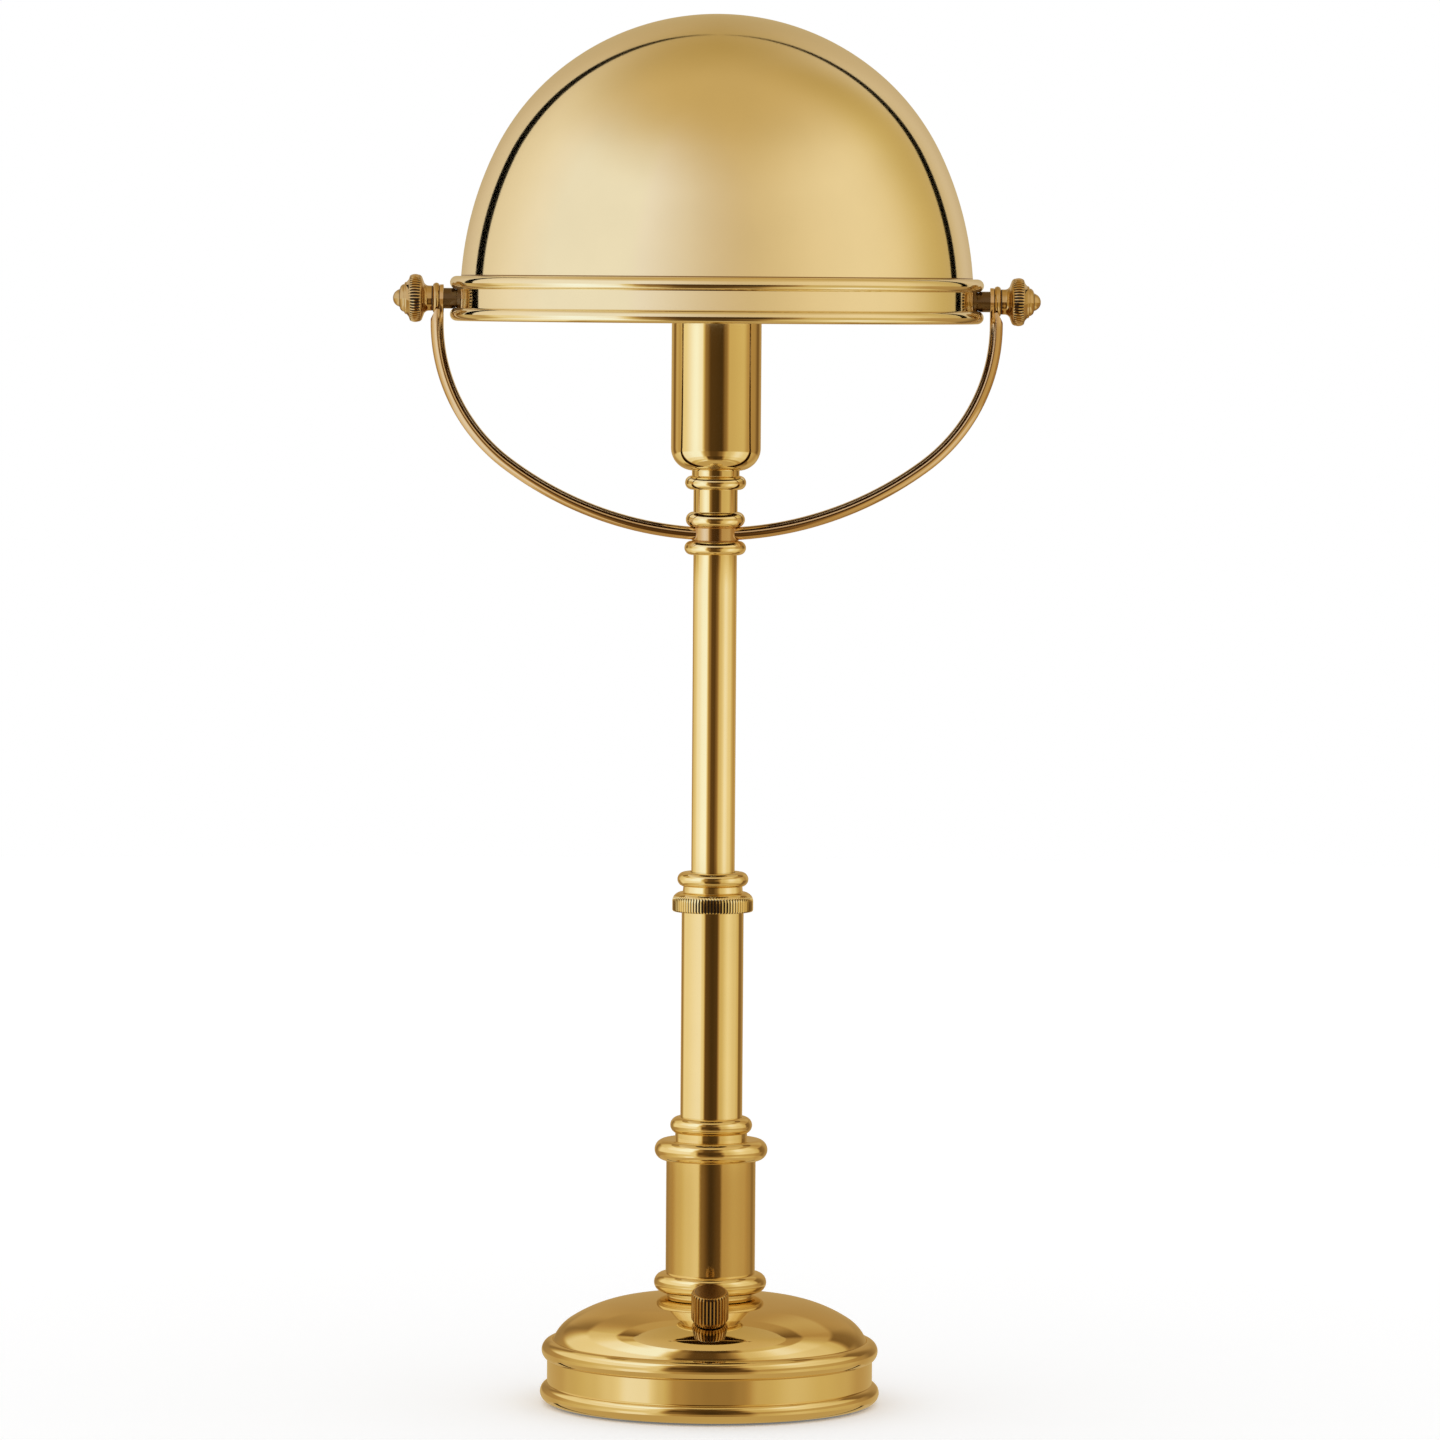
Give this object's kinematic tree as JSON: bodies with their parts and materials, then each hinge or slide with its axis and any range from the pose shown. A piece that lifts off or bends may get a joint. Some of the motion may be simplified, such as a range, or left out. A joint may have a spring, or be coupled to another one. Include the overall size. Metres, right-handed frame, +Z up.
{
  "type": "desk lamp",
  "caption": "Desk lamp with a dome shade that tilts in a yoke between knurled finials, on a telescoping column with a weighted round base and a control knob.",
  "frame": {"origin": "on the table under the column's axis, at the centre of the felt pad's lower face", "axes": "+Z up along the column, +X through the right finial as seen from the front, -Y towards the control knob and the viewer"},
  "size_m": [0.258, 0.2124, 0.555],
  "materials": {
    "polished_brass": "polished",
    "satin_brass": "satin",
    "shade_brass": "polished",
    "bush_brass": "machined",
    "steel": "zinc plated",
    "cap_metal": "bright",
    "iron": "as cast",
    "felt": "felt",
    "black_plastic": "matte",
    "bush_plastic": "matte",
    "holder_plastic": "glazed",
    "opal_glass": "frosted"
  },
  "bodies": {
    "base_body": {"felt_pad": "felt", "base_plate": "steel", "plate_screws": "steel", "base_weight": "iron", "base_shell": "satin_brass", "column_rod": "steel", "rod_washer": "steel", "rod_lower_nut": "steel", "rod_upper_nut": "steel", "foot_collar": "polished_brass", "lower_sleeve": "satin_brass", "stepped_collar": "polished_brass", "outer_tube": "polished_brass", "collet_bush": "bush_brass", "dimmer_body": "black_plastic", "dimmer_nut": "steel", "cord_gland": "black_plastic", "gland_nut": "black_plastic"},
    "lock_collar": {"lock_collar": "polished_brass"},
    "knob": {"control_knob": "polished_brass", "dimmer_shaft": "steel"},
    "tube_guide": {"guide_bush": "bush_plastic"},
    "mast": {"upper_tube": "polished_brass", "guide_shoulder": "bush_brass", "guide_clip": "steel", "hub_lower_collar": "polished_brass", "yoke": "polished_brass", "hub_upper_collar": "polished_brass", "hub_pipe": "steel", "stem": "polished_brass", "socket_collar": "polished_brass", "socket_cup": "polished_brass", "pipe_nut": "steel", "lamp_holder": "holder_plastic", "screw_shell": "bush_brass", "centre_contact": "bush_brass", "bulb_cap": "cap_metal", "bulb_glass": "opal_glass"},
    "shade": {"shade_dome": "shade_brass", "shade_ring": "shade_brass", "pivot_spacers": "polished_brass", "pivot_nuts": "steel"},
    "finial_left": {"finial_left": "polished_brass"},
    "finial_right": {"finial_right": "polished_brass"}
  },
  "joints": [
    {"name": "lock_turn", "type": "hinge", "parent": "base_body", "child": "lock_collar", "pos_m": [0, 0, 0.2], "axis": [0, 0, 1], "range_deg": [0, 180]},
    {"name": "knob_turn", "type": "hinge", "parent": "base_body", "child": "knob", "pos_m": [0, -0.0455, 0.03748], "axis": [0, -0.342, 0.9397], "range_deg": [0, 300]},
    {"name": "height_slide", "type": "slide", "parent": "base_body", "child": "tube_guide", "axis": [0, 0, 1], "range_m": [-0.076, 0.034]},
    {"name": "mast_swivel", "type": "hinge", "parent": "tube_guide", "child": "mast", "pos_m": [0, 0, 0.2], "axis": [0, 0, 1], "range_deg": [-170, 170]},
    {"name": "shade_tilt", "type": "hinge", "parent": "mast", "child": "shade", "pos_m": [0, 0, 0.44148], "axis": [1, 0, 0], "range_deg": [-70, 70]},
    {"name": "finial_left_screw", "type": "hinge", "parent": "shade", "child": "finial_left", "pos_m": [-0.11, 0, 0.44148], "axis": [-1, 0, 0], "range_deg": [0, 360]},
    {"name": "finial_right_screw", "type": "hinge", "parent": "shade", "child": "finial_right", "pos_m": [0.11, 0, 0.44148], "axis": [1, 0, 0], "range_deg": [0, 360]}
  ]
}
